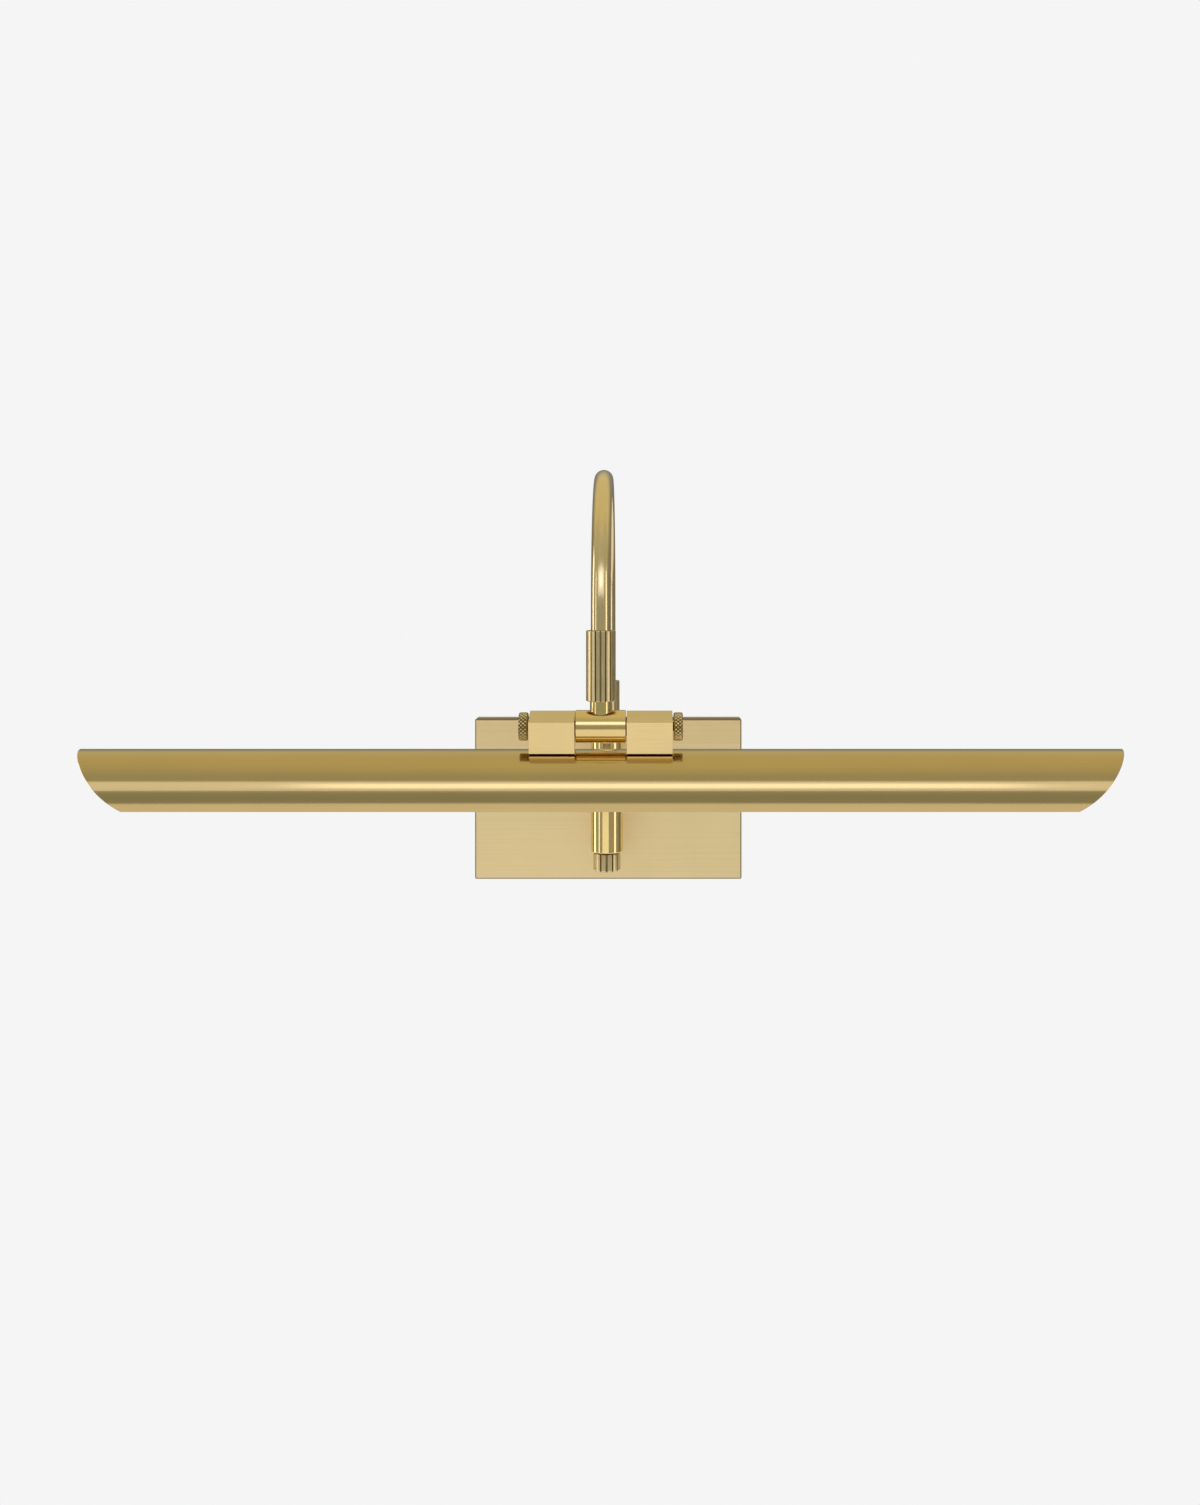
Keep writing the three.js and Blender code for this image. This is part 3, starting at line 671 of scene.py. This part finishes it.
def fluted_grip(node, place, bore_rows, count, depth, crown):
    """A grip with straight flutes and both ends rounded over. bore_rows run down the inside."""
    low, high = extent(node, place)
    radius = max(high.x, -low.x)
    outline, angles = flutes(radius, radius - depth, count)
    foot, top = [], []
    for i in range(5):
        angle = math.pi / 2 * i / 4
        early, late = crown * (1 - math.cos(angle)), crown * (1 - math.sin(angle))
        foot.append((no_more(outline, radius - late), low.z + early))
        top.append((no_more(outline, radius - early), high.z - late))
    grip = turned_rows([*foot, *top, *bore_rows], angles=angles, loop=True)
    made = fit(node, grip, place, sharp=25)
    mark_grooves(made, place, "z", radius, depth)


post()
bush_low, bush_high = extent("rear_bush", POST)
fit("rear_bush", ring(POST_BORE - 0.25, tube_radius + 0.2, bush_low.z, bush_high.z), POST)
hex_nut("switch_nut", POST, SWITCH_NUT_BORE)
knob_bore, knob_seat = shaft_high.x + RUN, shaft_low.z - GAP
knob_rows = [(knob_bore, knob_high.z), (knob_bore, knob_seat), (PIN_HOLE, knob_seat),
             (PIN_HOLE, knob_low.z)]
fluted_grip("switch_knob", POST, knob_rows, **KNOB)
fit("switch_shaft", rod(shaft_high.x, shaft_low.z, shaft_high.z, angles=48), POST)

# ---------------------------------------------------------------- arm and its lock collars
head_reach = (HEAD.translation.y - POST.translation.y) / MM
washer_low, washer_high = extent("swivel_washer", HEAD)
stem_low, stem_high = extent("head_stem", HEAD)
stem_radius = stem_high.x
TUBE_BORE = 3.1


def swan_neck(rear_end, front_end, steps=72):
    """The arm's centre line from the post's axis: up, over half a circle, and down to the head."""
    bend = -head_reach / 2
    straight_top = extent("arm_tube", POST)[1].z - tube_radius - bend
    over = [math.pi * i / steps for i in range(steps + 1)]
    arch = [(0, -bend * (1 - math.cos(a)), straight_top + bend * math.sin(a)) for a in over]
    return [(0, 0, rear_end), *arch, (0, head_reach, front_end)]


arm_line = swan_neck(extent("arm_tube", POST)[0].z, washer_high.z + 0.2)
fit("arm_tube", swept(arm_line, tube_radius, (1, 0, 0), 64, bore=TUBE_BORE), POST)

spigot_top = post_high.z + RUN
rear_rows = [(tube_radius + RUN, rear_high.z), (tube_radius + RUN, spigot_top),
             (SPIGOT + 0.2, spigot_top), (SPIGOT + 0.2, rear_low.z)]
fluted_grip("rear_collar", POST, rear_rows, **COLLAR)
front_low, front_high = extent("front_collar", HEAD)
front_rows = [(stem_radius + RUN, front_high.z), (stem_radius + RUN, front_low.z)]
fluted_grip("front_collar", HEAD, front_rows, **COLLAR)

# ---------------------------------------------------------------- swivel head
hinge_z = HINGE.translation.z / MM
barrel_high = extent("hinge_barrel", HINGE)[1]
barrel_radius = barrel_high.y
screw_low, screw_high = extent("thumbscrew_right", LAMP_HEAD)
block_low, block_high = extent("hinge_block_right", LAMP_HEAD)
link_low, link_high = extent("block_nipple_right", LAMP_HEAD)
link_x = (link_low.x + link_high.x) / 2
link_radius = (link_high.x - link_low.x) / 2
TRUNNION, TRUNNION_BORE = 3.6, 2.4
STEM_PIVOT, STEM_BORE = 2.75, 1.9
LINK_RUN = 0.2  # round the hollow nipples that tie the blocks to the shade
spacer_low, spacer_high = extent("block_spacer_right", LAMP_HEAD)
spacer_radius = (spacer_high.x - spacer_low.x) / 2
KNURL = {"count": 22, "depth": 0.45}
SCREW = {"shank": 2, "chamfer": 0.4, "tap_hole": 2.3}
LEAD_SLOT = {"half_width": 2.4, "half_depth": 2.8, "bottom": -5, "top": -1.2}


def head_stem():
    """A hollow stem whose pivot turns inside the tube's front end."""
    shoulder = washer_low.z - 0.1
    profile = [(STEM_BORE, stem_low.z), (stem_radius, stem_low.z), (stem_radius, shoulder),
               (STEM_PIVOT, shoulder), (STEM_PIVOT, stem_high.z), (STEM_BORE, stem_high.z)]
    fit("head_stem", turned(profile, 0.3), HEAD)


def hinge_barrel():
    """A barrel under the stem, with a hollow trunnion at each end for the leads."""
    half = block_low.x - RUN
    end = barrel_high.x
    profile = [(TRUNNION_BORE, -end), (TRUNNION, -end), (TRUNNION, -half), (barrel_radius, -half),
               (barrel_radius, half), (TRUNNION, half), (TRUNNION, end), (TRUNNION_BORE, end)]
    cuts = [rod(stem_radius + GAP, stem_low.z - GAP - hinge_z, barrel_radius + 2),
            rod(lead_radius + 0.5, 0, barrel_radius)]
    wide, deep = LEAD_SLOT["half_width"], LEAD_SLOT["half_depth"]
    for side, _ in SIDES:
        x = side * link_x
        cuts.append(rounded_box((x - wide, -deep, LEAD_SLOT["bottom"]),
                                (x + wide, deep, LEAD_SLOT["top"]), 0.3, 2))
    fit("hinge_barrel", turned(profile, 0.3, axis="x", angles=128), HINGE, cuts)


head_stem()
fit("swivel_washer", ring(tube_radius, STEM_PIVOT + 0.2, washer_low.z, washer_high.z), HEAD)
hinge_barrel()


# ---------------------------------------------------------------- hinge blocks and thumbscrews
def hinge_block(side, name):
    """A clamp bored for the trunnion, the thumbscrew, the nipple and its lead, and the spacer."""
    trunnion_end = barrel_high.x + 0.5
    centre = (link_x, 0, 0)
    cuts = [rod(TRUNNION + 0.2, block_low.x - 1, trunnion_end, axis="x"),
            rod(SCREW["tap_hole"], block_low.x, block_high.x + 1, axis="x"),
            rod(link_radius + LINK_RUN, block_low.z - 1, link_high.z + GAP, centre=centre),
            rod(STEM_BORE, block_low.z, 0, centre=centre),
            rod(spacer_radius + RUN, block_low.z - 1, spacer_high.z + GAP, centre=centre)]
    block = rounded_box(block_low, block_high, 0.2, 2)
    fit("hinge_block_" + name, block, LAMP_HEAD, cuts, side)


def thumbscrew(side, name):
    """A diamond-knurled head, dished at its end, on a threaded shank."""
    shank, chamfer = SCREW["shank"], SCREW["chamfer"]
    head = screw_high.y
    inner, outer = block_high.x + 0.4, screw_high.x
    rows = [(shank - 0.4, screw_low.x),
            *thread(shank, depth=0.25, pitch=0.7, start=screw_low.x + 0.3, end=inner - 1),
            (shank - 0.25, inner), (head - chamfer, inner)]
    rows += diamond_knurl(head, start=inner + chamfer, end=outer - chamfer, **KNURL)
    rows += [(head - chamfer, outer), (head - 1.1, outer), (head - 1.5, outer - 0.3)]
    screw = turned_rows(rows, axis="x", angles=KNURL["count"] * 10)
    made = fit("thumbscrew_" + name, screw, LAMP_HEAD, side=side, sharp=25)
    mark_grooves(made, LAMP_HEAD, "x", head, KNURL["depth"])


def block_spacer(side, name):
    """A disc let into the block, whose underside is hollowed to sit on the shade."""
    high, radius = spacer_high, spacer_radius
    bore = link_radius + LINK_RUN
    ease = 0.15

    def on_crown(at_radius):
        def height(angle):
            across = at_radius * math.sin(angle) + shade_ahead
            return shade_axis + math.sqrt((shade_radius + GAP) ** 2 - across**2)

        return height

    rows = [(bore, on_crown(bore)), (radius, on_crown(radius)), (radius, high.z - ease),
            (radius - ease, high.z), (bore, high.z)]
    spacer = turned_rows(rows, angles=64, centre=(link_x, 0, 0), loop=True)
    fit("block_spacer_" + name, spacer, LAMP_HEAD, side=side)


# ---------------------------------------------------------------- shade
shade_low, shade_high = extent("shade", LAMP_HEAD)
shade_radius = (shade_high.y - shade_low.y) / 2
shade_ahead = -(shade_high.y + shade_low.y) / 2  # the crown lies this far ahead of its clamp
shade_axis = shade_high.z - shade_radius
SHEET = 0.9
END_ARC = 42  # radius of the arc that each end of the flat blank is cut to
END_BEHIND = 10  # how far behind the crown the arc's farthest point lies


def shade():
    """A half-round sheet. Its flat blank's ends are cut to arcs, so they sweep back to the lips."""
    mid = shade_radius - SHEET / 2
    turn = [math.pi * (i / 96 - 0.5) for i in range(97)]
    ease = 0.12
    stations = [(-1, ease, 0), (-1, 0, ease), *[(s / 6, 0, 0) for s in range(-5, 6)],
                (1, 0, ease), (1, ease, 0)]
    rings = []
    for share, thinner, inset in stations:
        skins = [(shade_radius - thinner, turn), (shade_radius - SHEET + thinner, turn[::-1])]
        points = []
        for radius, angles in skins:
            for angle in angles:
                swept_back = END_ARC - math.sqrt(END_ARC**2 - (angle * mid - END_BEHIND) ** 2)
                reach = shade_high.x - swept_back - inset
                across, up = radius * math.sin(angle), radius * math.cos(angle)
                points.append((share * reach, across - shade_ahead, shade_axis + up))
        rings.append(points)
    holes = [rod(link_radius + LINK_RUN, shade_high.z - 3, shade_high.z + 3,
                 centre=(side * link_x, 0, 0), angles=32) for side, _ in SIDES]
    fit("shade", loft(rings, loop=False), LAMP_HEAD, holes, sharp=40)


# ---------------------------------------------------------------- lamps inside the shade
STRIP = {"thick": 0.9, "narrow": 4, "bend": 1.6, "widens": -15, "wide": -18}
SOCKET_HOLE = 3.3


def lamp_bracket():
    """A strip bent down at both ends into wider ears that hold the lamp sockets."""
    low, high = extent("lamp_bracket", LAMP_HEAD)
    thick, narrow, bend = STRIP["thick"], STRIP["narrow"], STRIP["bend"]
    widens, wide = STRIP["widens"], STRIP["wide"]
    x, top = high.x - thick / 2, high.z - thick / 2
    turn = [math.pi / 2 * i / 6 for i in range(7)]
    corner = [(x - bend + bend * math.sin(a), top - bend + bend * math.cos(a)) for a in turn]
    heights = (widens, (widens + wide) / 2, wide, low.z + 3, low.z + 1.2, low.z + 0.4, low.z)
    half = [(0, top), *corner, *[(x, height) for height in heights]]
    line = [(-px, pz) for px, pz in reversed(half[1:])] + half
    rings = []
    for i, (px, pz) in enumerate(line):
        before, after = line[max(i - 1, 0)], line[min(i + 1, len(line) - 1)]
        slope = Vector((after[0] - before[0], after[1] - before[1])).normalized()
        out = Vector((-slope.y, slope.x)) * thick / 2
        widening = min(max((widens - pz) / (widens - wide), 0), 1)
        rounding = max(0, low.z + 2.4 - pz)
        reach = narrow + (high.y - narrow) * widening - 0.35 * rounding**1.6
        rings.append([(px + s * out.x, t * reach, pz + s * out.y)
                      for s, t in ((1, 1), (1, -1), (-1, -1), (-1, 1))])
    cuts = []
    for side, _ in SIDES:
        cuts.append(rod(link_radius + LINK_RUN, high.z - 3, high.z + 1,
                        centre=(side * link_x, 0, 0), angles=32))
        cuts.append(rod(SOCKET_HOLE, side * x - 2, side * x + 2, axis="x",
                        centre=(0, 0, lamp_axis), angles=32))
    fit("lamp_bracket", loft(rings, loop=False), LAMP_HEAD, cuts)


def lamp_socket(side, name):
    """A black moulded holder with a ribbed grip, gripped on the bracket's ear by its neck."""
    low, high = socket_low, socket_high
    radius, waist = high.y, high.y - 0.5
    neck, mouth, bottom = 3, 6.4, 30
    seat = extent("lamp_bracket", LAMP_HEAD)[1].x + GAP
    profile = [(0, low.x), (neck, low.x), (neck, seat), (radius, seat), (radius, seat + 4),
               (waist, seat + 4.6)]
    for rib in range(6):
        start = seat + 6 + 2 * rib
        profile += [(waist, start), (radius - 0.1, start + 0.4), (radius - 0.1, start + 1),
                    (waist, start + 1.4)]
    profile += [(waist, high.x - 4), (radius, high.x - 3.4), (radius, high.x), (mouth, high.x),
                (mouth, bottom), (0, bottom)]
    made = turned(profile, 0.2, axis="x", centre=(0, 0, lamp_axis))
    fit("lamp_socket_" + name, made, LAMP_HEAD, side=side)


def lamp_base(side, name):
    """The lamp's rolled thread and its centre contact."""
    low, high = extent("lamp_base_right", LAMP_HEAD)
    radius = high.y
    rows = [(1.2, low.x), (2, low.x + 0.3), (2.6, low.x + 1.8), (radius - 0.5, low.x + 3.7)]
    rows += thread(radius, depth=0.5, pitch=2.2, start=low.x + 4.2, end=high.x - 2, steps=8)
    rows += [(radius - 0.1, high.x - 1.2), (radius - 0.1, high.x)]
    base = turned_rows(rows, axis="x", centre=(0, 0, lamp_axis))
    fit("lamp_base_" + name, base, LAMP_HEAD, side=side)


def lamp_glass(side, name):
    """A thin-walled tubular lamp, open at its neck where the base closes it."""
    low, high = extent("lamp_glass_right", LAMP_HEAD)
    radius, wall, neck = high.y, 0.8, 5.8
    shoulder_length = 8
    to_tip = [math.pi / 2 * i / 14 for i in range(14)]

    def skin(r, tip, throat):
        dome = [(r * math.cos(a), tip - r + r * math.sin(a)) for a in to_tip]
        shoulder = [(r - (r - throat) * (0.5 + 0.5 * math.cos(math.pi * i / 8)),
                     low.x + shoulder_length * i / 8) for i in range(8)]
        return [*shoulder, *dome, (0.05, tip)]

    outer = skin(radius, high.x, neck)
    inner = skin(radius - wall, high.x - wall, neck - wall)
    rows = [*outer, *reversed(inner)]
    made = turned_rows(rows, axis="x", angles=64, centre=(0, 0, lamp_axis), loop=True)
    fit("lamp_glass_" + name, made, LAMP_HEAD, side=side)


def lamp_lead(side, name):
    """From the hinge block down through its nipple and on into the lamp socket."""
    route = [(link_x, 0, -5.3), (link_x, 0, -10), (link_x, 0, -15.5), (link_x + 0.4, 0, -20),
             (link_x + 1.6, 0, -23.2), (link_x + 4, 0, lamp_axis)]
    lead = swept(smooth_route(route), lead_radius, (0, 1, 0), 20)
    fit("lamp_lead_" + name, lead, LAMP_HEAD, side=side)


socket_low, socket_high = extent("lamp_socket_right", LAMP_HEAD)
lamp_axis = (socket_low.z + socket_high.z) / 2
shade()
lamp_bracket()
for side, name in SIDES:
    hinge_block(side, name)
    thumbscrew(side, name)
    block_spacer(side, name)
    nipple = threaded_tube(link_radius, STEM_BORE, link_low.z, link_high.z, centre=(link_x, 0, 0))
    fit("block_nipple_" + name, nipple, LAMP_HEAD, side=side)
    lamp_socket(side, name)
    lamp_base(side, name)
    lamp_glass(side, name)
    lamp_lead(side, name)
    nut_bore = link_radius + LINK_RUN
    hex_nut("block_nut_" + name, LAMP_HEAD, nut_bore, centre=(side * link_x, 0, 0))


# ---------------------------------------------------------------- studio
PALE = (0.913, 0.913, 0.913)
FLOOR_DROP = 0.75  # metres from the wall mount's centre down to the floor
FLOOR_RADIUS = 3.87 * FLOOR_DROP  # so that its far edge lies 14.5 degrees below the light


def glow(name, colour, strength):
    """A surface that only gives off light."""
    material, _, _, shader = new_material(name)
    shader.inputs["Base Color"].default_value = (0, 0, 0, 1)
    shader.inputs["Specular IOR Level"].default_value = 0
    shader.inputs["Emission Color"].default_value = (*colour, 1)
    shader.inputs["Emission Strength"].default_value = strength
    return material


def floor():
    """A plain pale floor, evenly lit."""
    bm = bmesh.new()
    bmesh.ops.create_circle(bm, cap_ends=True, radius=FLOOR_RADIUS, segments=96)
    made = object_from("floor", bm, Matrix.Translation((0, 0, -FLOOR_DROP)))
    made.data.materials.append(glow("pale_floor", PALE, 1))


def bands(nodes, links, source, stops):
    """The source from 0 to 1, run through several colours."""
    made = nodes.new("ShaderNodeValToRGB")
    marks = made.color_ramp.elements
    while len(marks) < len(stops):
        marks.new(0.5)
    for mark, (position, colour) in zip(marks, stops):
        mark.position = position
        mark.color = (*colour, 1)
    links.new(source, made.inputs["Fac"])
    return made.outputs["Color"]


CEILING = (0.68, 0.63, 0.4)
FRONT_LOW, FRONT_MIDDLE = (0.36, 0.38, 0.34), (0.5, 0.5, 0.4)
BEHIND_LOW, BEHIND_MIDDLE = (0.2, 0.2, 0.18), (0.26, 0.25, 0.22)


def studio_walls():
    """The world: an even pale backdrop to the camera, and a quiet room in reflections, whose
    ceiling is warm and whose walls are darker behind the wall plane than in front of it."""
    world = bpy.data.worlds.new("studio")
    bpy.context.scene.world = world
    world.use_nodes = True
    nodes, links = world.node_tree.nodes, world.node_tree.links
    room = nodes["Background"]
    backdrop = nodes.new("ShaderNodeBackground")
    backdrop.inputs["Color"].default_value = (*PALE, 1)
    rays = nodes.new("ShaderNodeLightPath")
    either = nodes.new("ShaderNodeMixShader")
    where = nodes.new("ShaderNodeTexCoord")
    axes = nodes.new("ShaderNodeSeparateXYZ")
    links.new(where.outputs["Generated"], axes.inputs["Vector"])
    height = axes.outputs["Z"]
    front = bands(nodes, links, height, [(0, FRONT_LOW), (0.8, FRONT_MIDDLE), (1, CEILING)])
    behind = bands(nodes, links, height, [(0, BEHIND_LOW), (0.3, BEHIND_MIDDLE), (0.62, CEILING)])
    sides = nodes.new("ShaderNodeMix")
    sides.data_type = "RGBA"
    depth = nodes.new("ShaderNodeMapRange")
    depth.interpolation_type = "SMOOTHSTEP"
    for name, value in (("From Min", -0.3), ("From Max", 0.3), ("To Min", 0), ("To Max", 1)):
        depth.inputs[name].default_value = value
    links.new(axes.outputs["Y"], depth.inputs["Value"])
    links.new(depth.outputs["Result"], sides.inputs["Factor"])
    links.new(front, sides.inputs["A"])
    links.new(behind, sides.inputs["B"])
    links.new(sides.outputs["Result"], room.inputs["Color"])
    links.new(rays.outputs["Is Camera Ray"], either.inputs["Fac"])
    links.new(room.outputs["Background"], either.inputs[1])
    links.new(backdrop.outputs["Background"], either.inputs[2])
    links.new(either.outputs["Shader"], nodes["World Output"].inputs["Surface"])


def soft_light(name, centre, aim, size, radiance, colour=(1, 1, 1)):
    """A rectangular soft light at centre, aimed at a point. Reflections show it at its radiance."""
    light = bpy.data.lights.new(name, "AREA")
    light.shape = "RECTANGLE"
    light.size, light.size_y = size
    light.color = colour
    light.energy = math.pi * size[0] * size[1] * radiance
    made = bpy.data.objects.new(name, light)
    made.location = centre
    made.rotation_euler = (Vector(aim) - Vector(centre)).to_track_quat("-Z", "Y").to_euler()
    made.visible_camera = False
    bpy.context.scene.collection.objects.link(made)
    return made


floor()
studio_walls()
COOL = (0.96, 1, 1.3)
shade_centre = LAMP_HEAD @ Vector((0, -shade_ahead, shade_axis))
soft_light("front_core", (0.045, -1.66, 0.82), shade_centre, (1.05, 0.34), 0.8, COOL)
soft_light("front_wide", (0.045, -1.66, 0.80), shade_centre, (2.3, 0.72), 0.62, COOL)

arm_foot = (0, POST.translation.y, 0.02)
CARD_DISTANCE, CARD_CENTRE_HEIGHT, CARD_LENGTH = 1.3, 0.05, 1.2


def side_card(name, bearing, width, radiance):
    """A tall card at a bearing from straight ahead, positive to the right."""
    turn = math.radians(bearing)
    centre = (CARD_DISTANCE * math.sin(turn), arm_foot[1] - CARD_DISTANCE * math.cos(turn),
              CARD_CENTRE_HEIGHT)
    soft_light(name, centre, arm_foot, (width, CARD_LENGTH), radiance)


side_card("left_rear_card", -95, 0.38, 1.9)
side_card("left_card", -56, 0.22, 1.0)
side_card("right_card", 62, 0.3, 1.3)

# The low card lights the plate and the post alone, and leaves the shade's lower lip as it is.
low_card = soft_light("low_card", (-0.075, -0.54, -0.115), arm_foot, (0.42, 0.1), 0.7)
wall_pieces = bpy.data.collections.new("lit_by_low_card")
for name in ("fine_back_plate", "fine_post"):
    wall_pieces.objects.link(bpy.data.objects[name])
low_card.light_linking.receiver_collection = wall_pieces

# ---------------------------------------------------------------- camera
CAMERA = (0.0154, -0.7667, 0.1067)
FOCAL = 1583  # in frame pixels
FRAME_HEIGHT = 1505
SENSOR = 36
SHIFT = (-0.02698, -0.1179)

camera = bpy.data.objects.new("camera", bpy.data.cameras.new("camera"))
camera.location = CAMERA
camera.rotation_euler = (math.pi / 2, 0, 0)
camera.data.sensor_width = SENSOR
camera.data.lens = SENSOR * FOCAL / FRAME_HEIGHT
camera.data.shift_x, camera.data.shift_y = SHIFT
bpy.context.scene.collection.objects.link(camera)
bpy.context.scene.camera = camera
bpy.context.scene.view_settings.view_transform = "Standard"
